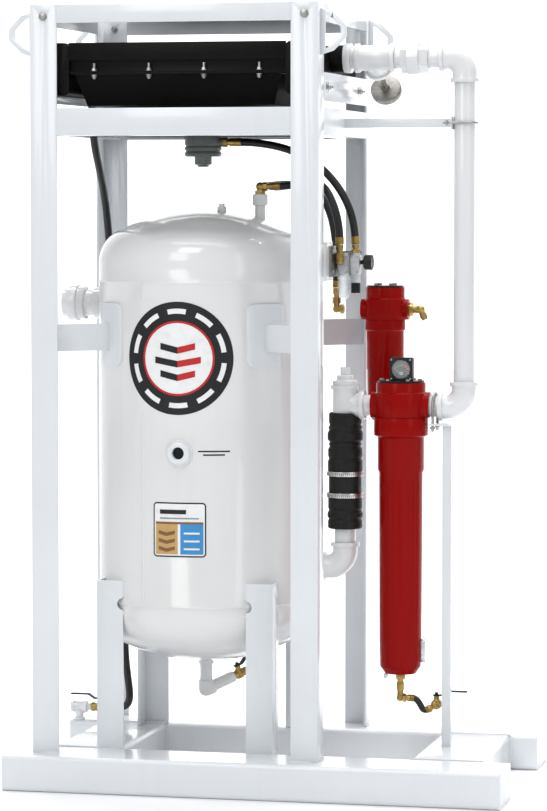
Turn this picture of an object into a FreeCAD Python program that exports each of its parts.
"""Skid-mounted compressed-air dryer: a tank of desiccant in a steel frame, with an
aftercooler and its air-driven fan on top, two line filters, a filter-regulator and drains.

Frame: +X to the right, +Y to the back, +Z up, millimetres. The origin is on the floor at
the middle of the skid's plan. Every function below makes one node, a list of solids.
"""
import FreeCAD, Part
import math
import os

V = FreeCAD.Vector
X_AXIS = V(1, 0, 0)
Y_AXIS = V(0, 1, 0)
Z_AXIS = V(0, 0, 1)

# Skid of 8 x 4 inch rectangular tube
SKID_LENGTH = 1407.0
SKID_WIDTH = 865.0
RAIL_HEIGHT = 101.6
RAIL_DEPTH = 191.0
TUBE_WALL = 6.35
TUBE_CORNER = 13.0
CROSS_WIDTH = 203.2
CROSS_CENTRES = (-506.0, 524.0)

# Upright frame of 3 x 3 x 1/4 inch angle
FRAME_X = -222.0
FRAME_WIDTH = 817.0
FRAME_DEPTH = 740.0
FRAME_TOP = 2187.0
ANGLE = 76.2
ANGLE_WALL = 6.35
TOP_BEAM = 50.8
MID_BEAM_BASE = 1825.5
GUARD_THICKNESS = 2.5
X_LEFT = FRAME_X - FRAME_WIDTH / 2
X_RIGHT = FRAME_X + FRAME_WIDTH / 2
Y_FRONT = -FRAME_DEPTH / 2
Y_REAR = FRAME_DEPTH / 2

# Tank, 24 inch shell with dished heads
TANK_X = -222.0
TANK_R = 305.0
TANK_WALL = 6.0
TANK_SHELL_BASE = 481.0
TANK_SHELL_TOP = 1469.0
HEAD_DEPTH = 152.0
CROWN_R = 549.0
KNUCKLE_R = 104.0
SEAM_HEIGHTS = (512.0, 1418.0)
BEAD_HALF = 4.5
BEAD_RISE = 2.5
LEG_TOP = 578.0
LEG_CORNER = 254.0
NOTCH_R = 17.0
PAD_HEIGHT = 176.0
PAD_Z = 1270.0
PAD_WALL = 6.0
BRACE_HEIGHT = 76.0
BRACE_Z = 1263.0
PORT_Z = 945.0
PORT_R = 34.0
PORT_HOLE_R = 16.8
OUTLET_Z = 1352.0
INLET_Z = 607.0
TOP_NOZZLE_X = -62.0

# Two inch piping, all in the plane Y = 0
PIPE_R = 30.15
PIPE_BORE = 26.2
BAND_R = 41.0
BODY_R = 35.5
SOCKET = 18.0
TOP_PIPE_Z = 2047.0
DOWN_PIPE_X = 527.0
LOW_PIPE_Z = 1067.0
BEND_R = 46.0
ELBOW_REACH = BEND_R + 24.0
THERMO_TEE_X = 272.0
COUPLING_X = 186.0

# Line filters
MAIN_FILTER_X = 347.0
MAIN_BOWL_R = 62.0
AFTER_FILTER_X = 262.0
AFTER_FILTER_Y = 200.0
AFTER_BOWL_R = 52.0
AFTER_PORT_Z = 1333.0

# Aftercooler
CORE_HALF = 308.0
COOLER_HALF_DEPTH = 330.0
COOLER_TOP = 2083.0
CORE_BASE = 2000.0
HEADER_WIDTH = 60.0
HEADER_BASE = 1937.0
FAN_X = -229.0
FAN_RING_R = 262.0

# Running clearance of shafts and ball-valve stems
RUNNING = 0.05


def box(x0, x1, y0, y1, z0, z1):
    """Block between two corners."""
    return Part.makeBox(x1 - x0, y1 - y0, z1 - z0, V(x0, y0, z0))


def rod(radius, start, end):
    """Round bar from start to end."""
    path = end - start
    return Part.makeCylinder(radius, path.Length, start, path)


def tube(outer, inner, start, end):
    """Round tube from start to end."""
    return rod(outer, start, end).cut(rod(inner, start, end))


def hex_bar(across_flats, start, end, turn=0.0):
    """Hexagonal bar from start to end."""
    path = end - start
    radius = across_flats / math.sqrt(3.0)
    corners = [V(radius * math.cos(math.radians(60 * k + turn)),
                 radius * math.sin(math.radians(60 * k + turn)), 0) for k in range(7)]
    solid = Part.Face(Part.makePolygon(corners)).extrude(V(0, 0, path.Length))
    turn_up = FreeCAD.Rotation(Z_AXIS, path)
    solid.Placement = FreeCAD.Placement(start, turn_up)
    return Part.Solid(solid)


def turned(profile, centre, axis=Z_AXIS):
    """Solid of revolution: profile is (radius, height) pairs along axis from centre."""
    points = [V(r, 0, h) for r, h in profile]
    face = Part.Face(Part.makePolygon(points + [points[0]]))
    solid = face.revolve(V(0, 0, 0), Z_AXIS, 360)
    solid.Placement = FreeCAD.Placement(centre, FreeCAD.Rotation(Z_AXIS, axis))
    return Part.Solid(solid)


def prism(points, path):
    """Polygon of points moved along path."""
    return Part.Face(Part.makePolygon(list(points) + [points[0]])).extrude(path)


def fuse(solids):
    """One solid from several that touch."""
    whole = solids[0].fuse(solids[1:]).removeSplitter()
    return whole.Solids[0] if len(whole.Solids) == 1 else whole


def cut(solid, tools):
    """The solid without its tools."""
    for tool in tools:
        solid = solid.cut(tool)
    return solid


def rounded_slab(x0, x1, y0, y1, z0, z1, radius, along):
    """Block with its four long edges rounded; along is the index of its long axis."""
    block = box(x0, x1, y0, y1, z0, z1)
    directions = (X_AXIS, Y_AXIS, Z_AXIS)
    edges = [edge for edge in block.Edges
             if abs(edge.tangentAt(edge.FirstParameter).dot(directions[along])) > 0.99]
    return block.makeFillet(radius, edges)


def mirrored(solids, plane_x=None, plane_y=None):
    """Mirror images of solids in the plane X = plane_x or Y = plane_y."""
    if plane_x is not None:
        return [s.mirror(V(plane_x, 0, 0), X_AXIS) for s in solids]
    return [s.mirror(V(0, plane_y, 0), Y_AXIS) for s in solids]


def four_corners(solid):
    """A front-left solid and its images at the frame's other three corners."""
    left = [solid] + mirrored([solid], plane_y=0)
    return left + mirrored(left, plane_x=FRAME_X)


def bent_tube(name, route, radius, report):
    """Hose along straight runs joined by tangent arcs as large as the runs allow."""
    points = [V(*p) for p in route]
    arcs = []
    for before, here, after in zip(points, points[1:], points[2:]):
        run_in = (here - before).normalize()
        run_out = (after - here).normalize()
        half_turn = run_in.getAngle(run_out) / 2
        shorter = min((here - before).Length, (after - here).Length)
        bend = 0.45 * shorter / math.tan(half_turn)
        reach = bend * math.tan(half_turn)
        inward = (run_out - run_in).normalize()
        middle = here + inward * (bend / math.cos(half_turn) - bend)
        arcs.append((here - run_in * reach, middle, here + run_out * reach, bend))
    edges = []
    start = points[0]
    for first, middle, last, _ in arcs:
        edges.append(Part.LineSegment(start, first).toShape())
        edges.append(Part.Arc(first, middle, last).toShape())
        start = last
    edges.append(Part.LineSegment(start, points[-1]).toShape())
    path = Part.Wire(edges)
    circle = Part.Circle(points[0], points[1] - points[0], radius).toShape()
    solid = path.makePipeShell([Part.Wire([circle])], True, False)
    length = path.Length
    ratio = solid.Volume / (math.pi * radius ** 2 * length)
    tightest = min(arc[3] for arc in arcs)
    report.append(f"{name}: length {length:.0f}, tightest radius {tightest:.0f}, "
                  f"volume ratio {ratio:.4f}")
    return solid


# ---------------------------------------------------------------- frame and skid

def skid_rails():
    """Front and rear rails, hollow, with welded end plates."""
    solids = []
    for side in (-1, 1):
        y_outer = side * SKID_WIDTH / 2
        y_inner = y_outer - side * RAIL_DEPTH
        y0, y1 = sorted((y_outer, y_inner))
        half = SKID_LENGTH / 2 - TUBE_WALL
        outer = rounded_slab(-half, half, y0, y1, 0, RAIL_HEIGHT, TUBE_CORNER, 0)
        inner = rounded_slab(-half, half, y0 + TUBE_WALL, y1 - TUBE_WALL, TUBE_WALL,
                             RAIL_HEIGHT - TUBE_WALL, TUBE_CORNER - TUBE_WALL, 0)
        solids.append(outer.cut(inner))
        for end in (-1, 1):
            x0, x1 = sorted((end * half, end * (half + TUBE_WALL)))
            solids.append(rounded_slab(x0, x1, y0, y1, 0, RAIL_HEIGHT, TUBE_CORNER, 0))
    return solids


def skid_cross_members():
    """Two tubes that join the rails, tops flush."""
    reach = SKID_WIDTH / 2 - RAIL_DEPTH
    solids = []
    for centre in CROSS_CENTRES:
        x0 = centre - CROSS_WIDTH / 2
        x1 = centre + CROSS_WIDTH / 2
        outer = rounded_slab(x0, x1, -reach, reach, 0, RAIL_HEIGHT, TUBE_CORNER, 1)
        inner = rounded_slab(x0 + TUBE_WALL, x1 - TUBE_WALL, -reach, reach, TUBE_WALL,
                             RAIL_HEIGHT - TUBE_WALL, TUBE_CORNER - TUBE_WALL, 1)
        solids.append(outer.cut(inner))
    return solids


def angle_section(corner_x, corner_y, leg, wall, z):
    """Six corners of an angle whose heel is at the corner, legs towards +X and +Y."""
    return [V(corner_x, corner_y, z), V(corner_x + leg, corner_y, z),
            V(corner_x + leg, corner_y + wall, z), V(corner_x + wall, corner_y + wall, z),
            V(corner_x + wall, corner_y + leg, z), V(corner_x, corner_y + leg, z)]


def corner_posts():
    """Four angles, heels outwards, standing on the rails."""
    section = angle_section(X_LEFT, Y_FRONT, ANGLE, ANGLE_WALL, RAIL_HEIGHT)
    post = prism(section, V(0, 0, FRAME_TOP - RAIL_HEIGHT))
    handle_hole = rod(5.5, V(X_LEFT + 38, Y_FRONT - 1, 2155), V(X_LEFT + 38, Y_FRONT + 8, 2155))
    return four_corners(post.cut(handle_hole))


def ring_beams(height, base, flange_up):
    """Four angles between the posts: a front and a side one, mirrored."""
    z_flange = base + height - ANGLE_WALL if flange_up else base
    x0 = X_LEFT + ANGLE
    x1 = X_RIGHT - ANGLE
    front = fuse([box(x0, x1, Y_FRONT, Y_FRONT + ANGLE_WALL, base, base + height),
                  box(x0, x1, Y_FRONT, Y_FRONT + height, z_flange, z_flange + ANGLE_WALL)])
    y0 = Y_FRONT + ANGLE
    y1 = Y_REAR - ANGLE
    side = fuse([box(X_LEFT, X_LEFT + ANGLE_WALL, y0, y1, base, base + height),
                 box(X_LEFT, X_LEFT + height, y0, y1, z_flange, z_flange + ANGLE_WALL)])
    return [front] + mirrored([front], plane_y=0) + [side] + mirrored([side], plane_x=FRAME_X)


def top_beams():
    """Two inch angles round the top, flanges up and inwards."""
    return ring_beams(TOP_BEAM, FRAME_TOP - TOP_BEAM, True)


def mid_beams():
    """Three inch angles under the aftercooler, flanges down and inwards."""
    return ring_beams(ANGLE, MID_BEAM_BASE, False)


def top_guard():
    """Sheet of expanded metal laid under the top beams' flanges."""
    edge = 15.0
    top = FRAME_TOP - ANGLE_WALL
    return [box(X_LEFT + ANGLE_WALL + edge, X_RIGHT - ANGLE_WALL - edge,
                Y_FRONT + ANGLE_WALL + edge, Y_REAR - ANGLE_WALL - edge,
                top - GUARD_THICKNESS, top)]


HANDLE_Z = 2107.0
HANDLE_REACH = 72.0
HANDLE_HEIGHT = 128.0
HANDLE_BAR = 6.0


def handle_outline(inset):
    """Points of the D-shaped handle plate, from its top corner round to its foot."""
    half = HANDLE_HEIGHT / 2 - inset
    reach = HANDLE_REACH - inset
    slope = 0.5
    return [(0, half), (reach * slope, half * 0.82), (reach, half * 0.25), (reach, -half * 0.25),
            (reach * slope, -half * 0.82), (0, -half)]


def lifting_handles():
    """Four D-shaped plates on the posts' side legs, one at each top corner."""
    y = Y_FRONT + ANGLE / 2 - HANDLE_BAR / 2
    outer = [V(X_LEFT - a, y, HANDLE_Z + b) for a, b in handle_outline(0)]
    inner = [V(X_LEFT - a, y, HANDLE_Z + b) for a, b in handle_outline(17)]
    inner[0].x = X_LEFT - 13.0
    inner[-1].x = X_LEFT - 13.0
    plate = prism(outer, V(0, HANDLE_BAR, 0)).cut(prism(inner, V(0, HANDLE_BAR, 0)))
    upright = [edge for edge in plate.Edges
               if abs(edge.tangentAt(edge.FirstParameter).y) > 0.99
               and edge.CenterOfMass.x < X_LEFT - 20]
    return four_corners(plate.makeFillet(7.0, upright))


# ---------------------------------------------------------------- tank

def head_arcs(inset, z, way):
    """Crown and knuckle of a dished head on the line at z, from its pole to the shell."""
    crown = CROWN_R - inset
    knuckle = KNUCKLE_R - inset
    radius = TANK_R - inset
    lift = math.sqrt((CROWN_R - KNUCKLE_R) ** 2 - (TANK_R - KNUCKLE_R) ** 2)
    middle = V(TANK_X, 0, z - way * lift)
    ring = V(TANK_X + TANK_R - KNUCKLE_R, 0, z)
    meet = math.atan2(lift, TANK_R - KNUCKLE_R)

    def on(centre, reach, angle):
        return centre + V(reach * math.cos(angle), 0, way * reach * math.sin(angle))

    pole = on(middle, crown, math.pi / 2)
    joint = on(ring, knuckle, meet)
    crown_arc = Part.Arc(pole, on(middle, crown, (math.pi / 2 + meet) / 2), joint)
    knuckle_arc = Part.Arc(joint, on(ring, knuckle, meet / 2), V(TANK_X + radius, 0, z))
    return [crown_arc.toShape(), knuckle_arc.toShape()], pole


def tank_solid(inset, beads=False):
    """Vessel of revolution, inset from its outside; beads adds the two weld beads."""
    radius = TANK_R - inset
    low_edges, low_pole = head_arcs(inset, TANK_SHELL_BASE, -1)
    high_edges, high_pole = head_arcs(inset, TANK_SHELL_TOP, 1)
    edges = low_edges + high_edges
    point = V(TANK_X + radius, 0, TANK_SHELL_BASE)
    for z in SEAM_HEIGHTS if beads else ():
        start = V(TANK_X + radius, 0, z - BEAD_HALF)
        end = V(TANK_X + radius, 0, z + BEAD_HALF)
        edges.append(Part.makeLine(point, start))
        edges.append(Part.Arc(start, V(TANK_X + radius + BEAD_RISE, 0, z), end).toShape())
        point = end
    edges.append(Part.makeLine(point, V(TANK_X + radius, 0, TANK_SHELL_TOP)))
    edges.append(Part.makeLine(low_pole, high_pole))
    face = Part.Face(Part.Wire(Part.__sortEdges__(edges)))
    return face.revolve(V(TANK_X, 0, 0), Z_AXIS, 360)


def tank_shell():
    """Hollow pressure vessel with its two weld beads and the holes of its nozzles."""
    top = TANK_SHELL_TOP + HEAD_DEPTH
    bottom = TANK_SHELL_BASE - HEAD_DEPTH
    holes = [rod(PORT_R, V(TANK_X, -TANK_R - 40, PORT_Z), V(TANK_X, -TANK_R + 60, PORT_Z)),
             rod(45, V(TANK_X - TANK_R - 40, 0, OUTLET_Z), V(TANK_X - TANK_R + 60, 0, OUTLET_Z)),
             rod(BAND_R, V(TANK_X + TANK_R - 60, 0, INLET_Z), V(TANK_X + TANK_R + 40, 0, INLET_Z)),
             rod(15, V(TOP_NOZZLE_X, 0, top - 120), V(TOP_NOZZLE_X, 0, top + 40)),
             rod(22, V(TANK_X, 0, bottom - 20), V(TANK_X, 0, bottom + 40))]
    return [cut(tank_solid(0, True), [tank_solid(TANK_WALL)] + holes)]


def tank_legs():
    """Four angles whose toes are welded to the shell, notched round the lower seam."""
    section = angle_section(TANK_X - LEG_CORNER, -LEG_CORNER, ANGLE, ANGLE_WALL, RAIL_HEIGHT)
    leg = prism(section, V(0, 0, LEG_TOP - RAIL_HEIGHT))
    toe_x = TANK_X - LEG_CORNER + ANGLE
    toe_y = -LEG_CORNER + ANGLE
    z = SEAM_HEIGHTS[0]
    notches = [rod(NOTCH_R, V(toe_x, -LEG_CORNER - 1, z), V(toe_x, -LEG_CORNER + 10, z)),
               rod(NOTCH_R, V(TANK_X - LEG_CORNER - 1, toe_y, z),
                   V(TANK_X - LEG_CORNER + 10, toe_y, z))]
    shell = rod(TANK_R, V(TANK_X, 0, 300), V(TANK_X, 0, 900))
    return four_corners(cut(leg, notches + [shell]))


def tank_braces():
    """Curved pads on the shell and the flat bars from them to the corner posts."""
    ring = tube(TANK_R + PAD_WALL, TANK_R, V(TANK_X, 0, PAD_Z - PAD_HEIGHT / 2),
                V(TANK_X, 0, PAD_Z + PAD_HEIGHT / 2))
    half_pad = 62.0
    post_x = X_LEFT + ANGLE_WALL
    post_y = Y_FRONT + ANGLE_WALL
    out = V(post_x - TANK_X, post_y, 0)
    reach = out.Length
    out.normalize()
    across = V(-out.y, out.x, 0)
    base = V(TANK_X, 0, PAD_Z - PAD_HEIGHT / 2)
    blank = prism([base + across * half_pad, base - across * half_pad,
                   base - across * half_pad + out * 500, base + across * half_pad + out * 500],
                  V(0, 0, PAD_HEIGHT))
    corner_edges = [edge for edge in blank.Edges
                    if abs(edge.tangentAt(edge.FirstParameter).dot(out)) > 0.99]
    pad = ring.common(blank.makeFillet(22.0, corner_edges))
    low = V(TANK_X, 0, BRACE_Z - BRACE_HEIGHT / 2)
    bar = prism([low + across * 4.8, low - across * 4.8, low - across * 4.8 + out * (reach - 9),
                 low + across * 4.8 + out * (reach - 9)], V(0, 0, BRACE_HEIGHT))
    bar = bar.cut(rod(TANK_R + PAD_WALL, V(TANK_X, 0, 1100), V(TANK_X, 0, 1500)))
    return [s for solid in (pad, bar) for s in four_corners(solid)]


def front_port():
    """Threaded half coupling in the middle of the shell, facing the front."""
    start = V(TANK_X, -TANK_R + 12, PORT_Z)
    profile = [(PORT_HOLE_R, 0), (PORT_R, 0), (PORT_R, 18), (PORT_R - 3, 27),
               (24, 30), (PORT_HOLE_R + 2, 30), (PORT_HOLE_R, 28)]
    return [turned(profile, start, V(0, -1, 0))]


def bed_support_grid():
    """Perforated plate and its legs, low in the tank, that carry the desiccant."""
    z = SEAM_HEIGHTS[0] + 150
    plate = rod(TANK_R - TANK_WALL - 2, V(TANK_X, 0, z), V(TANK_X, 0, z + 6))
    pitch = 45.0
    holes = []
    for i in range(-5, 6):
        for j in range(-5, 6):
            if math.hypot(i, j) * pitch < TANK_R - 60:
                centre = V(TANK_X + i * pitch, j * pitch, z - 1)
                holes.append(rod(9, centre, centre + V(0, 0, 8)))
    return [plate.cut(Part.makeCompound(holes))]


def desiccant_bed():
    """The bed of drying tablets, one body of its filled size."""
    z = SEAM_HEIGHTS[0] + 156.5
    return [rod(TANK_R - TANK_WALL - 9, V(TANK_X, 0, z), V(TANK_X, 0, 1300))]


def top_nozzle():
    """Threaded coupling and cap nipple on the top head, with the small plug beside it."""
    nozzle = turned([(0, 0), (15, 0), (15, 46), (22, 48), (22, 78), (17, 80), (0, 80)],
                    V(TOP_NOZZLE_X, 0, 1585))
    plug = fuse([turned([(0, 0), (13, 0), (13, 14), (0, 14)], V(TANK_X + 55, -30, 1615)),
                 hex_bar(15, V(TANK_X + 55, -30, 1629), V(TANK_X + 55, -30, 1638))])
    return [nozzle, plug.cut(tank_solid(0))]


def outlet_union():
    """Two inch dry-air outlet on the tank's left: nozzle, union and a plugged elbow end."""
    profile = [(PIPE_BORE, 0), (45, 0), (45, 36), (38, 38), (38, 62), (47, 64), (47, 84),
               (52, 86), (52, 112), (42, 114), (42, 128), (PIPE_BORE, 128)]
    start = V(TANK_X - TANK_R + 14, 0, OUTLET_Z)
    return [turned(profile, start, V(-1, 0, 0))]


# ---------------------------------------------------------------- two inch piping

def swept(radius, start, first, middle, last, end):
    """Round bar along a straight run, an arc and a second straight run."""
    path = Part.Wire([Part.makeLine(start, first), Part.Arc(first, middle, last).toShape(),
                      Part.makeLine(last, end)])
    circle = Part.Wire([Part.Circle(start, first - start, radius).toShape()])
    return path.makePipeShell([circle], True, False)


def elbow(corner, first, second):
    """Hollow 90 degree elbow: arms from its corner along first and second."""
    lean = (first + second).normalize()
    middle = corner + lean * (BEND_R * (math.sqrt(2.0) - 1.0))
    turn = (corner + first * BEND_R, middle, corner + second * BEND_R)
    body = swept(BODY_R, corner + first * ELBOW_REACH, *turn, corner + second * ELBOW_REACH)
    bore = swept(PIPE_BORE, corner + first * (ELBOW_REACH + 1), *turn,
                 corner + second * (ELBOW_REACH + 1))
    bands = []
    sockets = []
    for way in (first, second):
        mouth = corner + way * ELBOW_REACH
        bands.append(rod(BAND_R, mouth - way * 12, mouth))
        sockets.append(rod(PIPE_R, mouth - way * SOCKET, mouth + way))
    return cut(fuse([body] + bands), [bore] + sockets)


def pipe_elbows():
    """The three elbows: over and under the down pipe, and at the tank's inlet."""
    return [elbow(V(DOWN_PIPE_X, 0, TOP_PIPE_Z), V(-1, 0, 0), V(0, 0, -1)),
            elbow(V(DOWN_PIPE_X, 0, LOW_PIPE_Z), V(0, 0, 1), V(-1, 0, 0)),
            elbow(V(COUPLING_X, 0, INLET_Z), V(0, 0, 1), V(-1, 0, 0))]


def pipe_runs():
    """Straight pipes and nipples between the fittings."""
    spans = []
    inside = ELBOW_REACH - SOCKET
    spans.append((V(DOWN_PIPE_X, 0, LOW_PIPE_Z + inside), V(DOWN_PIPE_X, 0, TOP_PIPE_Z - inside)))
    spans.append((V(425, 0, TOP_PIPE_Z), V(DOWN_PIPE_X - inside, 0, TOP_PIPE_Z)))
    spans.append((V(THERMO_TEE_X + 57, 0, TOP_PIPE_Z), V(366, 0, TOP_PIPE_Z)))
    spans.append((V(431, 0, LOW_PIPE_Z), V(DOWN_PIPE_X - inside, 0, LOW_PIPE_Z)))
    spans.append((V(COUPLING_X, 0, INLET_Z + inside), V(COUPLING_X, 0, 725)))
    spans.append((V(TANK_X + TANK_R - 14, 0, INLET_Z), V(COUPLING_X - inside, 0, INLET_Z)))
    spans.append((V(COUPLING_X + 42, 0, LOW_PIPE_Z), V(264, 0, LOW_PIPE_Z)))
    solids = [tube(PIPE_R, PIPE_BORE, a, b) for a, b in spans]
    sleeve = tube(BAND_R, PIPE_R, V(TANK_X + TANK_R - 14, 0, INLET_Z),
                  V(TANK_X + TANK_R + 22, 0, INLET_Z))
    return solids + [sleeve]


def tee(centre, run, branch):
    """Hollow tee with banded mouths: run each way, and one branch."""
    solids = [rod(BODY_R, centre - run * 57, centre + run * 57)]
    bores = [rod(PIPE_BORE, centre - run * 80, centre + run * 80),
             rod(PIPE_BORE, centre, centre + branch * 80)]
    solids.append(rod(BODY_R, centre, centre + branch * 57))
    for way in (run, run * -1, branch):
        solids.append(rod(BAND_R, centre + way * 45, centre + way * 57))
        bores.append(rod(PIPE_R, centre + way * 42, centre + way * 60))
    return cut(fuse(solids), bores)


THERMO_WAY = V(0, 0.88, -0.475).normalize()


def pipe_tees():
    """Thermometer tee at the cooler's outlet and the cleanout tee beside the filter."""
    thermo_tee = tee(V(THERMO_TEE_X, 0, TOP_PIPE_Z), X_AXIS, THERMO_WAY)
    filter_tee = tee(V(COUPLING_X, 0, LOW_PIPE_Z), Z_AXIS, X_AXIS)
    collar = tube(BAND_R + 1, PIPE_R, V(184, 0, TOP_PIPE_Z), V(204, 0, TOP_PIPE_Z))
    stub = tube(PIPE_R, PIPE_BORE, V(184, 0, TOP_PIPE_Z), V(THERMO_TEE_X - 42, 0, TOP_PIPE_Z))
    mouth = V(COUPLING_X, 0, LOW_PIPE_Z + 42)
    bushing = turned([(0, 0), (PIPE_R, 0), (PIPE_R, 15), (36, 15), (36, 27), (25, 30), (24, 42),
                      (18, 44), (0, 44)], mouth)
    plug = hex_bar(26, mouth + V(0, 0, 44), mouth + V(0, 0, 66))
    return [thermo_tee, filter_tee, collar, stub, fuse([bushing, plug])]


def pipe_union():
    """Hexagonal pipe union between the tee and the top elbow."""
    x0 = 348.0
    tail = hex_bar(76, V(x0, 0, TOP_PIPE_Z), V(x0 + 20, 0, TOP_PIPE_Z))
    nut = hex_bar(94, V(x0 + 20, 0, TOP_PIPE_Z), V(x0 + 52, 0, TOP_PIPE_Z), 30)
    other = hex_bar(76, V(x0 + 52, 0, TOP_PIPE_Z), V(x0 + 78, 0, TOP_PIPE_Z))
    bores = [rod(PIPE_BORE, V(x0 - 1, 0, TOP_PIPE_Z), V(x0 + 90, 0, TOP_PIPE_Z)),
             rod(PIPE_R, V(x0 - 1, 0, TOP_PIPE_Z), V(x0 + SOCKET, 0, TOP_PIPE_Z)),
             rod(PIPE_R, V(425, 0, TOP_PIPE_Z), V(x0 + 90, 0, TOP_PIPE_Z))]
    return [cut(fuse([tail, nut, other]), bores)]


def coupling_hose():
    """Ribbed rubber coupling that lets the two pipes move a little."""
    low = 716.0
    high = 1046.0
    tee_end = LOW_PIPE_Z - 57.3
    profile = [(PIPE_R, low)]
    ribs = [(716, 742, 49), (746, 764, 50.5), (770, 808, 48.5), (812, 872, 46.5),
            (878, 912, 49.5), (918, 946, 49), (950, 962, 46.5), (966, 992, 50.5),
            (997, 1008, 48), (1012, 1046, 46.5)]
    for start, end, radius in ribs:
        profile += [(radius - 2.5, start), (radius, start + 4), (radius, end - 4), (radius - 2.5, end)]
    profile += [(BAND_R + 0.1, high), (BAND_R + 0.1, tee_end), (PIPE_R, tee_end)]
    branch = rod(BAND_R + 0.5, V(COUPLING_X, 0, LOW_PIPE_Z), V(COUPLING_X + 90, 0, LOW_PIPE_Z))
    return [turned(profile, V(COUPLING_X, 0, 0)).cut(branch)]


def coupling_bands():
    """Two stainless clamping bands round the coupling, with their screw housings."""
    solids = []
    for z in (805.0, 866.0):
        band = tube(52.2, 50.8, V(COUPLING_X, 0, z), V(COUPLING_X, 0, z + 13))
        inner_ring = tube(50.8, 48.6, V(COUPLING_X, 0, z + 1), V(COUPLING_X, 0, z + 12))
        housing = box(COUPLING_X - 12, COUPLING_X + 12, 52, 64, z - 1, z + 14)
        screw = rod(4.5, V(COUPLING_X - 24, 58, z + 6.5), V(COUPLING_X + 16, 58, z + 6.5))
        solids.append(fuse([band, inner_ring, housing, screw]))
    return solids


def pipe_supports():
    """Square arm from the frame to the down pipe and the post under the low nipple."""
    arm = box(X_RIGHT, 494, -13, 13, 1851, 1876.4)
    plate = box(494, 496.5, -42, 42, 1845, 1882)
    post = box(468, 493.4, -12.7, 12.7, RAIL_HEIGHT, 1014)
    cap = box(434, 494, -46, 46, 1014, 1020)
    cap_holes = [rod(4.2, V(445, side * 38, 1010), V(445, side * 38, 1024)) for side in (-1, 1)]
    plate_holes = [rod(4.2, V(490, side * 35.2, 1864), V(500, side * 35.2, 1864))
                   for side in (-1, 1)]
    return [arm, cut(plate, plate_holes), post, cut(cap, cap_holes)]


def u_bolt(centre, way, radius, leg):
    """U-bolt round a pipe: bent over it with two legs along way, and their nuts."""
    across = V(0, 1, 0)
    ring = Part.makeTorus(radius, 3.9, centre, way.cross(across))
    half = box(-200, 200, -200, 200, 0, 200)
    half.Placement = FreeCAD.Placement(centre, FreeCAD.Rotation(Z_AXIS, way * -1))
    bow = ring.common(half)
    legs = [rod(3.9, centre + across * (s * radius), centre + across * (s * radius) + way * leg)
            for s in (-1, 1)]
    bolt = fuse([bow] + legs)
    nuts = []
    for s in (-1, 1):
        seat = centre + across * (s * radius) + way * (leg - 14)
        nuts.append(hex_bar(13, seat, seat + way * 7))
    return fuse([bolt] + nuts)


def pipe_u_bolts():
    """U-bolts that hold the down pipe to the arm and the low nipple to the post."""
    return [u_bolt(V(DOWN_PIPE_X, 0, 1864), V(-1, 0, 0), 35.2, 56),
            u_bolt(V(DOWN_PIPE_X - ELBOW_REACH - 12, 0, LOW_PIPE_Z), V(0, 0, -1), 38.0, 70)]


# ---------------------------------------------------------------- line filters

def main_filter_head():
    """Ported head of the moisture separator with its flat cap."""
    z = LOW_PIPE_Z
    body = turned([(0, -32), (74, -32), (74, 36), (70, 40), (70, 66), (0, 66)],
                  V(MAIN_FILTER_X, 0, z))
    ports = rod(40, V(MAIN_FILTER_X - 83, 0, z), V(MAIN_FILTER_X + 84, 0, z))
    cap = rod(66, V(MAIN_FILTER_X, 0, z + 66), V(MAIN_FILTER_X, 0, z + 72))
    bores = [rod(PIPE_BORE, V(MAIN_FILTER_X - 90, 0, z), V(MAIN_FILTER_X + 90, 0, z)),
             rod(52, V(MAIN_FILTER_X, 0, z - 33), V(MAIN_FILTER_X, 0, z + 30)),
             rod(120, V(MAIN_FILTER_X, 0, z - 60), V(MAIN_FILTER_X, 0, z - 32))]
    return [cut(fuse([body, ports]), bores), cap]


def main_filter_bowl():
    """Collar and long bowl of the moisture separator."""
    top = LOW_PIPE_Z - 32.3
    profile = [(56, 0), (77, 0), (77, -50), (66, -56), (66, -148), (MAIN_BOWL_R, -156),
               (60, -640), (MAIN_BOWL_R - 4, -708), (44, -728), (14, -733), (14, -725), (42, -718),
               (54, -700), (56, -640)]
    return [turned(profile, V(MAIN_FILTER_X, 0, top))]


def after_filter_head():
    """Ported head, cap and cap bolts of the small after filter."""
    z = AFTER_PORT_Z
    centre = V(AFTER_FILTER_X, AFTER_FILTER_Y, z)
    body = turned([(0, -30), (60, -30), (60, 28), (56, 34), (56, 64), (0, 64)], centre)
    ports = rod(30, centre - V(69, 0, 0), centre + V(69, 0, 0))
    bores = [rod(12, centre - V(80, 0, 0), centre + V(80, 0, 0)),
             rod(40, centre - V(0, 0, 31), centre + V(0, 0, 24))]
    cap = rod(53, centre + V(0, 0, 64), centre + V(0, 0, 69))
    bolts = [hex_bar(13, centre + V(dx, dy, 69), centre + V(dx, dy, 76))
             for dx, dy in ((-22, -22), (22, -22), (-22, 22), (22, 22))]
    return [cut(fuse([body, ports]), bores), cap] + bolts


def after_filter_bowl():
    """Collar and bowl of the after filter."""
    top = AFTER_PORT_Z - 30.3
    profile = [(46, 0), (58, 0), (58, -28), (54, -32), (54, -140), (AFTER_BOWL_R, -146),
               (50, -270), (36, -290), (0, -296), (0, -288), (34, -282), (46, -264)]
    return [turned(profile, V(AFTER_FILTER_X, AFTER_FILTER_Y, top))]


def filter_elements():
    """The cartridge inside each filter."""
    solids = []
    for x, y, z, radius, length in ((MAIN_FILTER_X, 0, LOW_PIPE_Z - 34, 42, 520),
                                    (AFTER_FILTER_X, AFTER_FILTER_Y, AFTER_PORT_Z - 34, 32, 190)):
        solids.append(tube(radius, radius - 14, V(x, y, z - length), V(x, y, z)))
        solids.append(rod(radius + 2, V(x, y, z - length - 6), V(x, y, z - length)))
    return solids


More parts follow.
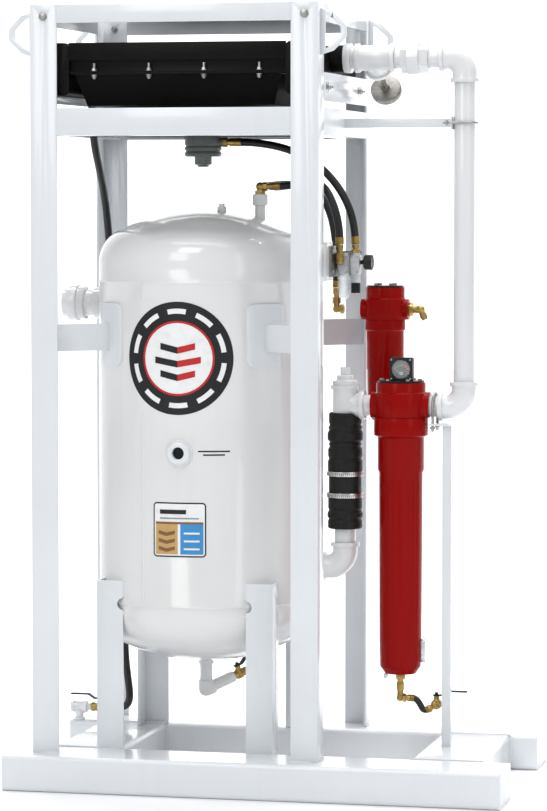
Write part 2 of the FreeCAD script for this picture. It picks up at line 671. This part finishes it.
def level_glass():
    """Sight glass in its metal guard on the separator's bowl, and the small side plug."""
    z = 372.0
    x = MAIN_FILTER_X + 58
    guard = rounded_slab(x - 2, x + 14, -9, 9, z - 28, z + 30, 3.0, 0)
    caps = [rod(7, V(x + 7, 0, z + end * 29 - 4), V(x + 7, 0, z + end * 29 + 4)) for end in (-1, 1)]
    inside = rod(60.2, V(MAIN_FILTER_X, 0, 200), V(MAIN_FILTER_X, 0, 600))
    guard = fuse([guard] + caps).cut(inside)
    plug = rod(6, V(MAIN_FILTER_X - 42, 0, 291), V(MAIN_FILTER_X - 42, 0, 304.5))
    return [guard, plug]


DP_X = 354.0
DP_Z = 1139.0
DP_SIZE = 66.0


def pressure_drop_gauge():
    """Square differential-pressure gauge case with a round well for its dial."""
    case = rounded_slab(DP_X - DP_SIZE / 2, DP_X + DP_SIZE / 2, -40, -12, DP_Z, DP_Z + DP_SIZE,
                        4.0, 1)
    centre = V(DP_X, 0, DP_Z + DP_SIZE / 2)
    well = rod(26, centre + V(0, -41, 0), centre + V(0, -32, 0))
    spigot = rod(2.0, centre + V(0, -36.5, -12), centre + V(0, -31, -12))
    screws = [rod(3.0, centre + V(dx, -41.5, dz), centre + V(dx, -39.5, dz))
              for dx in (-27, 27) for dz in (-27, 27)]
    return [fuse([case.cut(well), spigot] + screws)]


def needle(pivot, way, along, length, tail, bore):
    """Pointer: hub round its pivot and a tapered blade; way is the axis, along the blade."""
    side = way.cross(along)
    hub = rod(bore + 2.6, pivot, pivot + way * 2.0)
    base = pivot + way * 0.6
    blade = prism([base + side * 1.6 - along * tail, base + side * 1.2, base + along * length,
                   base - side * 1.2, base - side * 1.6 - along * tail], way * 0.8)
    return fuse([hub, blade]).cut(rod(bore + RUNNING, pivot - way, pivot + way * 4))


def pressure_drop_pointer():
    """Needle of the differential-pressure gauge."""
    pivot = V(DP_X, -33.2, DP_Z + DP_SIZE / 2 - 12)
    return [needle(pivot, V(0, -1, 0), V(-0.87, 0, 0.5), 22, 4, 2.0)]


# ---------------------------------------------------------------- round gauges

THERMO_BACK = V(THERMO_TEE_X, 0, TOP_PIPE_Z) + THERMO_WAY * 168
FRL_Y = -108.0
FRL_Z = 1474.0
GAUGE_START = V(252, FRL_Y, FRL_Z)


def gauge_case(back, way, radius, depth, hub):
    """Round case open to the front, with a centre spigot for its pointer."""
    shell = turned([(0, 0), (radius - 3, 0), (radius, 3), (radius, depth), (radius - 3, depth),
                    (radius - 3, 6), (0, 6)], back, way)
    spigot = rod(hub, back + way * 5.9, back + way * 13)
    return fuse([shell, spigot])


def thermometer_case():
    """Dial thermometer: case, ring and the stem that screws into the tee."""
    case = gauge_case(THERMO_BACK, THERMO_WAY, 44, 20, 2.0)
    centre = V(THERMO_TEE_X, 0, TOP_PIPE_Z)
    stem = rod(7, centre + THERMO_WAY * 90, THERMO_BACK)
    bush = turned([(0, 43), (PIPE_R, 43), (PIPE_R, 57), (31, 57), (31, 68), (14, 72), (14, 92),
                   (0, 92)], centre, THERMO_WAY)
    hexagon = hex_bar(22, centre + THERMO_WAY * 150, THERMO_BACK)
    probe = rod(4, centre - THERMO_WAY * 12, centre + THERMO_WAY * 44)
    return [fuse([case, stem, bush, hexagon, probe])]


def thermometer_pointer():
    """Needle of the thermometer."""
    side = THERMO_WAY.cross(X_AXIS).normalize()
    blade = (X_AXIS * -0.7 + side * 0.7).normalize()
    return [needle(THERMO_BACK + THERMO_WAY * 9, THERMO_WAY, blade, 30, 7, 2.0)]


def regulator_gauge():
    """Small pressure gauge on the regulator's end."""
    case = gauge_case(GAUGE_START + V(10, 0, 0), X_AXIS, 21, 24, 1.5)
    return [fuse([case, rod(6, GAUGE_START, GAUGE_START + V(10.5, 0, 0))])]


def regulator_pointer():
    """Needle of the regulator's gauge."""
    return [needle(GAUGE_START + V(20, 0, 0), X_AXIS, V(0, -0.7, 0.714), 14, 4, 1.5)]


def gauge_glasses():
    """Clear windows of the three gauges."""
    centre = V(DP_X, 0, DP_Z + DP_SIZE / 2)
    return [rod(25.9, centre + V(0, -39.9, 0), centre + V(0, -38.2, 0)),
            rod(40.9, THERMO_BACK + THERMO_WAY * 17, THERMO_BACK + THERMO_WAY * 19.4),
            rod(17.9, GAUGE_START + V(31, 0, 0), GAUGE_START + V(33.2, 0, 0))]


# ---------------------------------------------------------------- filter-regulator

def regulator_bracket():
    """Plate welded to the front right post, and the steel angle bolted to it."""
    plate = box(X_RIGHT - ANGLE_WALL - 6.35, X_RIGHT - ANGLE_WALL, Y_FRONT + ANGLE_WALL,
                -146, 1424, 1532)
    angle_bar = fuse([box(X_RIGHT - ANGLE_WALL, X_RIGHT - ANGLE_WALL + 2.5, -190, -62, 1434, 1520),
                      box(X_RIGHT - ANGLE_WALL, 246, -64.5, -62, 1450, 1505)])
    bolts = [hex_bar(11, V(X_RIGHT - ANGLE_WALL + 2.5, -168, z), V(X_RIGHT - ANGLE_WALL + 8, -168, z))
             for z in (1450, 1504)]
    return [plate, angle_bar] + bolts


def filter_regulator():
    """The filter and regulator bodies on the air motor's supply, joined by a clamp."""
    solids = []
    for x in (205.0, 238.0):
        width = 17.0 if x < 220 else 13.9
        block = rounded_slab(x - width, x + width, FRL_Y - 20, FRL_Y + 20, 1442, 1494, 5.0, 2)
        collar = rod(18 if x < 220 else 13.5, V(x, FRL_Y, 1494), V(x, FRL_Y, 1500))
        solids.append(fuse([block, collar]))
    solids[0] = fuse([solids[0], rod(19, V(205, FRL_Y, 1436), V(205, FRL_Y, 1442.5)),
                      box(200, 212, FRL_Y + 19.5, -64.5, 1466, 1486)])
    neck = rod(13.4, V(238, FRL_Y, 1418), V(238, FRL_Y, 1442.2))
    spindle = rod(4.0, V(238, FRL_Y, 1384), V(238, FRL_Y, 1418.5))
    solids[1] = fuse([solids[1], neck, spindle])
    clamp = rounded_slab(222.0, 224.1, FRL_Y - 24, FRL_Y + 24, 1446, 1490, 3.0, 0)
    return [solids[0], solids[1], clamp]


def filter_bowl():
    """Clear bowl under the air filter, with its drain nipple."""
    profile = [(17, 0), (18.5, 0), (18.5, -8), (16.5, -12), (15.5, -58), (9, -66), (4, -67),
               (4, -74), (0, -74), (0, -62), (8, -61), (13.5, -55), (14.5, -12)]
    return [turned(profile, V(205, FRL_Y, 1435.8))]


def regulator_knob():
    """Fluted knob under the regulator."""
    centre = V(238, FRL_Y, 1388)
    knob = rod(13.0, centre, centre + V(0, 0, 28))
    flutes = [rod(1.6, centre + V(13.4 * math.cos(a), 13.4 * math.sin(a), -1),
                  centre + V(13.4 * math.cos(a), 13.4 * math.sin(a), 24))
              for a in (math.radians(30 * k) for k in range(12))]
    return [cut(knob, flutes + [rod(4.0 + RUNNING, centre - V(0, 0, 5), centre + V(0, 0, 40))])]


# ---------------------------------------------------------------- aftercooler

def cooler_core():
    """Bar-and-plate core: two side channels, flat air tubes and fin plates between them."""
    left = FRAME_X - CORE_HALF
    right = FRAME_X + CORE_HALF
    depth = COOLER_HALF_DEPTH
    solids = []
    for side in (-1, 1):
        y0, y1 = sorted((side * depth, side * (depth - 14)))
        rim = box(left, right, y0, y1, 2034, COOLER_TOP)
        y2, y3 = sorted((side * (depth - 10), side * (depth - 24)))
        web = box(left, right, y2, y3, CORE_BASE + 3, 2034.5)
        y4, y5 = sorted((side * (depth + 2), side * (depth - 30)))
        lip = box(left, right, y4, y5, CORE_BASE, CORE_BASE + 4)
        solids.append(fuse([rim, web, lip]))
    pitch = 34.0
    row = -depth + 40
    while row < depth - 30:
        solids.append(box(left, right, row, row + 6, CORE_BASE + 8, COOLER_TOP - 4))
        row += pitch
    for z in (CORE_BASE + 30, CORE_BASE + 54):
        for k in range(17):
            y0 = -depth + 40 + 6 + k * pitch
            solids.append(box(left, right, y0, y0 + pitch - 6, z, z + 1.2))
    return solids


def cooler_headers():
    """Rounded end tanks of the core, with the inlet stub on the left and the outlet on the right."""
    x1 = FRAME_X - CORE_HALF
    left = rounded_slab(x1 - HEADER_WIDTH, x1, -COOLER_HALF_DEPTH, COOLER_HALF_DEPTH,
                        HEADER_BASE, COOLER_TOP, 16.0, 1)
    right = left.mirror(V(FRAME_X, 0, 0), X_AXIS)
    wall = 5.0
    hollow = rounded_slab(x1 - HEADER_WIDTH + wall, x1 - wall, -COOLER_HALF_DEPTH + wall,
                          COOLER_HALF_DEPTH - wall, HEADER_BASE + wall, COOLER_TOP - wall, 11.0, 1)
    x_face = FRAME_X + CORE_HALF + HEADER_WIDTH
    stub = rod(38, V(x_face - 3, 0, TOP_PIPE_Z - 1), V(183.8, 0, TOP_PIPE_Z - 1))
    bore = rod(PIPE_BORE, V(x_face - 20, 0, TOP_PIPE_Z), V(190, 0, TOP_PIPE_Z))
    x_inlet = x1 - HEADER_WIDTH
    inlet = rod(29, V(x_inlet + 3, 0, TOP_PIPE_Z), V(x_inlet - 33, 0, TOP_PIPE_Z))
    inlet_bore = rod(23, V(x_inlet + 20, 0, TOP_PIPE_Z), V(x_inlet - 40, 0, TOP_PIPE_Z))
    boss = rod(8, V(x1 - 30, -COOLER_HALF_DEPTH - 6, 1962), V(x1 - 30, -COOLER_HALF_DEPTH + 2, 1962))
    hollow_right = hollow.mirror(V(FRAME_X, 0, 0), X_AXIS)
    spigot = rod(12, V(COOLER_DRAIN[0][0], COOLER_DRAIN[0][1], HEADER_BASE),
                 V(COOLER_DRAIN[0][0], COOLER_DRAIN[0][1], HEADER_BASE + 30))
    return [cut(fuse([left, inlet, boss, spigot]), [hollow, inlet_bore]),
            cut(fuse([right, stub]), [hollow_right, bore])]


def fan_shroud():
    """Tapered sheet plenum under the core, with its flange and the round fan ring."""
    top = CORE_BASE - 0.3
    flange_z = top - 5
    low = 1912.0
    ring_low = 1856.0
    wide = CORE_HALF - 6
    deep = COOLER_HALF_DEPTH

    def loop(half_x, half_y, z):
        return Part.makePolygon([V(FRAME_X + sx * half_x, sy * half_y, z) for sx, sy in
                                 ((-1, -1), (1, -1), (1, 1), (-1, 1), (-1, -1))])

    def funnel(inset):
        return Part.makeLoft([loop(wide - 8 - inset, deep - 12 - inset, flange_z),
                              loop(wide - 34 - inset, deep - 44 - inset, low)], True, True)

    flange = box(FRAME_X - wide, FRAME_X + wide, -deep - 2, deep + 2, flange_z, top)
    opening = box(FRAME_X - wide + 34, FRAME_X + wide - 34, -deep + 34, deep - 34,
                  flange_z - 1, top + 1)
    floor = box(FRAME_X - wide + 34, FRAME_X + wide - 34, -deep + 44, deep - 44, low - 3, low)
    walls = funnel(0).cut(funnel(3.0))
    ring = tube(FAN_RING_R + 3, FAN_RING_R, V(FAN_X, 0, ring_low), V(FAN_X, 0, low))
    mouth = rod(FAN_RING_R, V(FAN_X, 0, low - 10), V(FAN_X, 0, low + 10))
    return [fuse([flange.cut(opening), walls, floor.cut(mouth), ring])]


def fan():
    """Six-blade axial fan on its hub."""
    base = 1866.0
    hub = rod(46, V(FAN_X, 0, base), V(FAN_X, 0, base + 38))
    blades = []
    for k in range(6):
        blade = box(40, FAN_RING_R - 10, -2, 2, -30, 30)
        blade = blade.makeFillet(1.5, blade.Edges[:1])
        blade.rotate(V(0, 0, 0), X_AXIS, 58)
        blade.rotate(V(0, 0, 0), Z_AXIS, 60 * k)
        blade.translate(V(FAN_X, 0, base + 19))
        blades.append(blade)
    bore = rod(8, V(FAN_X, 0, base - 1), V(FAN_X, 0, base + 50))
    return [fuse([hub] + blades).cut(bore)]


def motor_shaft():
    """Shaft from the air motor to the fan's hub."""
    return [rod(8, V(FAN_X, 0, 1792), V(FAN_X, 0, 1902))]


MOTOR_LOW = 1771.0
MOTOR_HIGH = 1836.0


def air_motor():
    """Finned vane motor with its exhaust hub below."""
    centre = V(FAN_X, 0, MOTOR_LOW)
    body = turned([(0, 0), (50, 0), (53, 4), (53, 12), (50, 13), (50, 18), (53, 19), (53, 27),
                   (50, 28), (50, 33), (53, 34), (53, 60), (48, 65), (0, 65)], centre)
    hub = turned([(0, -29), (15, -29), (18, -24), (25, -22), (25, 1), (0, 1)], centre)
    port = rod(13, V(FAN_X + 40, 0, 1812), V(FAN_X + 58, 0, 1812))
    bore = rod(8 + RUNNING, V(FAN_X, 0, 1791), V(FAN_X, 0, MOTOR_HIGH + 5))
    return [cut(fuse([body, hub, port]), [bore])]


def motor_bracket():
    """Cross arms from the fan ring to the motor's plate."""
    z = MOTOR_HIGH + 0.2
    plate = rod(60, V(FAN_X, 0, z), V(FAN_X, 0, z + 6))
    arms = []
    for turn in (45, 135):
        arm = box(-FAN_RING_R - 18, FAN_RING_R + 18, -14, 14, 0, 6)
        arm.rotate(V(0, 0, 0), Z_AXIS, turn)
        arm.translate(V(FAN_X, 0, z))
        arms.append(arm)
        for end in (-1, 1):
            lug = box(FAN_RING_R + 3.2, FAN_RING_R + 8, -14, 14, 5, 36)
            lug.rotate(V(0, 0, 0), Z_AXIS, turn + (180 if end < 0 else 0))
            lug.translate(V(FAN_X, 0, z))
            arms.append(lug)
    return [fuse([plate] + arms).cut(rod(12, V(FAN_X, 0, z - 1), V(FAN_X, 0, z + 8)))]


def cooler_brackets():
    """Flat bars between the posts, left and right, and the ears on the end tanks."""
    y0 = Y_FRONT + ANGLE
    right = box(X_RIGHT - ANGLE_WALL, X_RIGHT, y0, -y0, 1920, 1998)
    slots = []
    for y in (-258, -232, 176, 202):
        slots.append(box(X_RIGHT - 10, X_RIGHT + 5, y - 4, y + 4, 1948, 1972))
    bar = cut(right, slots)
    x_face = FRAME_X + CORE_HALF + HEADER_WIDTH
    ears = [box(x_face, X_RIGHT - ANGLE_WALL, y - 22, y + 22, 1972, 1978) for y in (-245, 189)]
    return [s for solid in [bar] + ears
            for s in [solid] + mirrored([solid], plane_x=FRAME_X)]


def hex_bolts():
    """Flange bolts of the shroud, handle bolts and the bracket's studs with nuts."""
    solids = []
    for k in range(4):
        for side in (-1, 1):
            x = FRAME_X - 235 + k * 156.7
            y = side * (COOLER_HALF_DEPTH - 0.5)
            z = CORE_BASE
            pieces = [rod(3.9, V(x, y, z + 4.2), V(x, y, z + 26)),
                      hex_bar(13, V(x, y, z + 4.2), V(x, y, z + 12)),
                      rod(9, V(x, y, z + 4.2), V(x, y, z + 6))]
            solids.append(fuse(pieces))
            low = [hex_bar(13, V(x, y, z - 14), V(x, y, z - 5.6)),
                   rod(9, V(x, y, z - 7.5), V(x, y, z - 5.6)),
                   rod(4.5, V(x, y, z - 18), V(x, y, z - 13))]
            solids.append(fuse(low))
    washer = rod(12, V(X_LEFT + 38, Y_FRONT - 2, 2155), V(X_LEFT + 38, Y_FRONT, 2155))
    head = hex_bar(17, V(X_LEFT + 38, Y_FRONT - 9, 2155), V(X_LEFT + 38, Y_FRONT - 2, 2155))
    shank = rod(5.3, V(X_LEFT + 38, Y_FRONT - 2, 2155), V(X_LEFT + 38, Y_FRONT + 20, 2155))
    nut = hex_bar(17, V(X_LEFT + 38, Y_FRONT + ANGLE_WALL, 2155), V(X_LEFT + 38, Y_FRONT + 14, 2155))
    solids += four_corners(fuse([washer, head, shank, nut]))
    for y in (-258, -232, 176, 202):
        stud = rod(3.9, V(X_RIGHT - 14, y, 1960), V(X_RIGHT + 14, y, 1960))
        nut = hex_bar(13, V(X_RIGHT, y, 1960), V(X_RIGHT + 8, y, 1960))
        back = hex_bar(13, V(X_RIGHT - 13.5, y, 1960), V(X_RIGHT - ANGLE_WALL, y, 1960))
        bolt = fuse([stud, nut, back])
        solids += [bolt] + mirrored([bolt], plane_x=FRAME_X)
    return solids


# ---------------------------------------------------------------- drains and valves

def unit(x, y, z):
    """Direction of length one."""
    return V(x, y, z).normalize()


DRAIN_CORNER = V(TANK_X, 0, 243)
DRAIN_WAY = unit(0.62, 0.72, 0.28)
SIDE_DRAIN = V(-676.0, 256.0, 140.0)
FILTER_DRAIN = V(446.0, 30.0, 216.0)


def valve_frames():
    """Centre, flow, stem and lever directions of the three ball valves."""
    drain_side = DRAIN_WAY.cross(Z_AXIS).normalize()
    drain_stem = drain_side.cross(DRAIN_WAY).normalize()
    return {"tank_valve_handle": (DRAIN_CORNER + DRAIN_WAY * 122, DRAIN_WAY, drain_stem, DRAIN_WAY),
            "side_valve_handle": (SIDE_DRAIN + V(62, 0, 0), X_AXIS, Z_AXIS, X_AXIS * -1),
            "filter_valve_handle": (FILTER_DRAIN, Y_AXIS, Z_AXIS, X_AXIS)}


BALL_R = 9.0
STEM_R = 3.4
VALVE_HALF = 25.0


def valve_bodies():
    """Brass ball-valve bodies: hexagon ends, a round waist and the stem's gland."""
    solids = []
    for centre, flow, stem, _ in valve_frames().values():
        pieces = [turned([(0, -VALVE_HALF), (11, -VALVE_HALF), (11, -10), (15, -7), (15, 7),
                          (11, 10), (11, VALVE_HALF), (0, VALVE_HALF)], centre, flow),
                  hex_bar(23, centre - flow * VALVE_HALF, centre - flow * 14),
                  hex_bar(23, centre + flow * 14, centre + flow * VALVE_HALF),
                  rod(8, centre, centre + stem * 23)]
        ball = Part.makeSphere(BALL_R + RUNNING, centre)
        bores = [rod(5, centre - flow * 30, centre + flow * 30), ball,
                 rod(STEM_R + RUNNING, centre, centre + stem * 30)]
        solids.append(cut(fuse(pieces), bores))
    return solids


def valve_handle(centre, flow, stem, lever):
    """Ball, stem, nut and the dipped lever of one valve."""
    across = stem.cross(lever)
    if abs(flow.dot(lever)) > 0.5:
        through = rod(5, centre - flow * 20, centre + flow * 20)
    else:
        through = rod(5, centre - lever * 20, centre + lever * 20)
    ball = Part.makeSphere(BALL_R, centre).cut(through)
    post = rod(STEM_R, centre + stem * 6, centre + stem * 30)
    nut = hex_bar(9, centre + stem * 28, centre + stem * 34)
    z_plate = 24.0
    profile = [(-9, z_plate), (16, z_plate), (34, z_plate + 12), (88, z_plate + 12),
               (88, z_plate + 16), (32, z_plate + 16), (14, z_plate + 4), (-9, z_plate + 4)]
    start = [centre + lever * a + stem * b - across * 7 for a, b in profile]
    plate = prism(start, across * 14)
    return [fuse([ball, post, nut, plate])]


def drain_pipes():
    """White drain pipework: the tank's bottom nozzle and elbow, and the side drain's tee."""
    bottom = TANK_SHELL_BASE - HEAD_DEPTH
    corner = DRAIN_CORNER
    solids = [rod(17.8, V(TANK_X, 0, bottom + 3), corner + V(0, 0, 20)),
              rod(22, V(TANK_X, 0, bottom + 2), V(TANK_X, 0, bottom - 12)),
              rod(22, corner + V(0, 0, 2), corner + V(0, 0, 26)),
              Part.makeSphere(21.5, corner),
              rod(22, corner, corner + DRAIN_WAY * 24),
              rod(17, corner, corner + DRAIN_WAY * (122 - VALVE_HALF))]
    drain = fuse(solids).cut(rod(10, corner, V(TANK_X, 0, bottom + 30)))
    side = SIDE_DRAIN
    start = V(side.x, side.y, RAIL_HEIGHT)
    stack = fuse([rod(11.5, start, side), rod(16, start, start + V(0, 0, 6)),
                  rod(15.5, side - V(0, 0, 20), side - V(0, 0, 8)),
                  rod(15, side - V(22, 0, 0), side + V(24, 0, 0)),
                  rod(17, side - V(24, 0, 0), side - V(14, 0, 0)),
                  rod(17, side + V(14, 0, 0), side + V(24, 0, 0)),
                  rod(10, side + V(20, 0, 0), side + V(62 - VALVE_HALF, 0, 0))])
    return [drain, stack]


def barb_end(start, end, nut):
    """Brass hose end: hexagon nut, neck and crimped collar."""
    way = (end - start).normalize()
    length = (end - start).Length
    return fuse([hex_bar(nut, start, start + way * (length * 0.4)),
                 rod(nut * 0.36, start + way * (length * 0.38), start + way * (length * 0.62)),
                 rod(nut * 0.48, start + way * (length * 0.6), end)])


TOP_TEE_Z = 1686.0
B_HOSE = V(199, FRL_Y - 34, 1524)
C_HOSE = V(118, AFTER_FILTER_Y, 1394)


def brass_fittings():
    """Every small brass fitting: hose ends, elbows and the tee on the tank's top."""
    solids = []
    tee_low = V(TOP_NOZZLE_X, 0, 1665.2)
    tee_centre = V(TOP_NOZZLE_X, 0, TOP_TEE_Z)
    solids.append(fuse([hex_bar(27, tee_low, tee_low + V(0, 0, 9)), rod(10, tee_low, tee_centre),
                        Part.makeSphere(12.5, tee_centre), barb_end(tee_centre + V(9, 0, 0),
                                                                    tee_centre + V(40, 0, 0), 22),
                        barb_end(tee_centre + V(0, 9, 0), tee_centre + V(0, 34, 0), 22)]))
    solids.append(barb_end(V(FAN_X + 58.2, 0, 1812), V(FAN_X + 92, 0, 1812), 24))
    inlet = V(B_HOSE.x, B_HOSE.y, 1478)
    solids.append(fuse([barb_end(inlet + V(0, 0, 6), B_HOSE, 22), Part.makeSphere(12, inlet),
                        rod(7.6, inlet, V(B_HOSE.x, FRL_Y - 20.1, 1478))]))
    solids.append(barb_end(V(238, FRL_Y, 1500.1), V(238, FRL_Y, 1524), 22))
    corner = V(C_HOSE.x, C_HOSE.y, AFTER_PORT_Z)
    solids.append(fuse([barb_end(corner + V(0, 0, 16), C_HOSE, 22), Part.makeSphere(11, corner),
                        rod(9, corner, corner + V(0, 0, 17)), rod(9, corner, corner + V(22, 0, 0)),
                        hex_bar(24, corner + V(11, 0, 0), corner + V(22, 0, 0))]))
    port = V(AFTER_FILTER_X + 69.2, AFTER_FILTER_Y, AFTER_PORT_Z)
    bend = port + V(34, 0, 0)
    down = unit(0.42, 0, -0.9)
    solids.append(fuse([hex_bar(34, port, port + V(12, 0, 0)), rod(11, port, bend),
                        Part.makeSphere(12.5, bend), rod(9, bend, bend + down * 32),
                        rod(10.5, bend + down * 14, bend + down * 26)]))
    bowl_end = V(MAIN_FILTER_X, 0, LOW_PIPE_Z - 32.3 - 733.2)
    elbow_corner = V(MAIN_FILTER_X, 0, 236)
    solids.append(fuse([hex_bar(24, bowl_end, bowl_end - V(0, 0, 12)), rod(9, bowl_end, elbow_corner),
                        rod(11, bowl_end - V(0, 0, 22), bowl_end - V(0, 0, 42)),
                        Part.makeSphere(11, elbow_corner),
                        barb_end(elbow_corner + V(8, 0, 0), elbow_corner + V(30, 0, 0), 21)]))
    low = V(FILTER_DRAIN.x, -4, FILTER_DRAIN.z)
    inwards = unit(-0.87, 0, -0.5)
    solids.append(fuse([rod(9, low, V(low.x, FILTER_DRAIN.y - VALVE_HALF - 0.2, low.z)),
                        Part.makeSphere(10.6, low), rod(8, low, low + inwards * 17.6),
                        hex_bar(20, low + inwards * 12, low + inwards * 17.6, 15)]))
    side_end = SIDE_DRAIN + V(62 + VALVE_HALF + 0.2, 0, 0)
    solids.append(barb_end(side_end, side_end + V(26, 0, 0), 20))
    return solids


# ---------------------------------------------------------------- hoses

HOSE_R = 11.0
SMALL_HOSE_R = 9.0

MOTOR_HOSE = [(FAN_X + 93, 0, 1812), (-85, -2, 1811.5), (-25, -14, 1804), (40, -34, 1788),
              (104, -56, 1758), (160, -76, 1714), (206, -93, 1654), (231, -104, 1592),
              (238, -108, 1526)]
REGULATOR_HOSE = [(TOP_NOZZLE_X + 41, 0, TOP_TEE_Z), (15, -2, 1687), (62, -26, 1695),
                  (108, -66, 1700), (145, -102, 1688), (172, -126, 1652), (191, -139, 1606),
                  (199, -143, 1560), (B_HOSE.x, B_HOSE.y, B_HOSE.z + 1)]
FILTER_HOSE = [(TOP_NOZZLE_X, 35, TOP_TEE_Z), (-60, 78, 1688), (-30, 128, 1693), (24, 162, 1692),
               (70, 182, 1670), (98, 194, 1622), (112, 199, 1560), (118, 201, 1490),
               (C_HOSE.x, C_HOSE.y, C_HOSE.z + 1)]
COOLER_DRAIN = [(-541, -62, 1936.5), (-541, -60, 1880), (-542, -38, 1808), (-545, 28, 1738),
                (-549, 96, 1666), (-551, 136, 1580), (-549, 168, 1460), (-542, 188, 1320),
                (-533, 194, 1170), (-536, 192, 1020), (-532, 190, 860), (-524, 186, 700),
                (-518, 184, 540), (-520, 188, 400), (-519, 200, 300), (-516, 219, 232),
                (-514, 239, 178), (-526, 253, 146), (-559, 256, 140)]
SEPARATOR_DRAIN = [(MAIN_FILTER_X + 30.6, 0, 236), (393, 0, 235), (405, -2, 219), (412, -3, 204),
                   (421, -4, 202), (430.2, -4, 206.9)]


def air_hoses(report):
    """Rubber hoses of the air motor, the regulator and the after filter."""
    return [bent_tube("motor hose", MOTOR_HOSE, HOSE_R, report),
            bent_tube("regulator hose", REGULATOR_HOSE, HOSE_R, report),
            bent_tube("filter hose", FILTER_HOSE, HOSE_R, report)]


def drain_hoses(report):
    """Drain hoses of the aftercooler and of the separator."""
    return [bent_tube("cooler drain", COOLER_DRAIN, HOSE_R, report),
            bent_tube("separator drain", SEPARATOR_DRAIN, SMALL_HOSE_R - 1.5, report)]


# ---------------------------------------------------------------- output

def build():
    """Every node's solids, by name, and the hoses' measures."""
    report = []
    makers = [skid_rails, skid_cross_members, corner_posts, top_beams, mid_beams, top_guard,
              lifting_handles, tank_shell, tank_legs, tank_braces, front_port, bed_support_grid,
              desiccant_bed, top_nozzle, outlet_union, pipe_elbows, pipe_runs, pipe_tees,
              pipe_union, coupling_hose, coupling_bands, pipe_supports, pipe_u_bolts,
              main_filter_head, main_filter_bowl, after_filter_head, after_filter_bowl,
              filter_elements, level_glass, pressure_drop_gauge, pressure_drop_pointer,
              thermometer_case, thermometer_pointer, regulator_gauge, regulator_pointer,
              gauge_glasses, regulator_bracket, filter_regulator, filter_bowl, regulator_knob,
              cooler_core, cooler_headers, fan_shroud, fan, motor_shaft, air_motor, motor_bracket,
              cooler_brackets, hex_bolts, valve_bodies, drain_pipes, brass_fittings]
    nodes = {maker.__name__: maker() for maker in makers}
    for name, frame in valve_frames().items():
        nodes[name] = valve_handle(*frame)
    nodes["air_hoses"] = air_hoses(report)
    nodes["drain_hoses"] = drain_hoses(report)
    return nodes, report


def main():
    """Write one STEP file per node and print each node's size."""
    os.makedirs("parts", exist_ok=True)
    nodes, report = build()
    for name, solids in nodes.items():
        flat = [s for shape in solids for s in (shape.Solids or [shape])]
        shape = flat[0] if len(flat) == 1 else Part.makeCompound(flat)
        shape.exportStep(f"parts/{name}.step")
        bound = shape.BoundBox
        print(f"{name}: {len(flat)} solids, valid {shape.isValid()}, "
              f"{bound.XMin:.0f}..{bound.XMax:.0f} {bound.YMin:.0f}..{bound.YMax:.0f} "
              f"{bound.ZMin:.0f}..{bound.ZMax:.0f}")
    print(f"{len(nodes)} nodes")
    for line in report:
        print(line)


if __name__ == "__main__":
    main()
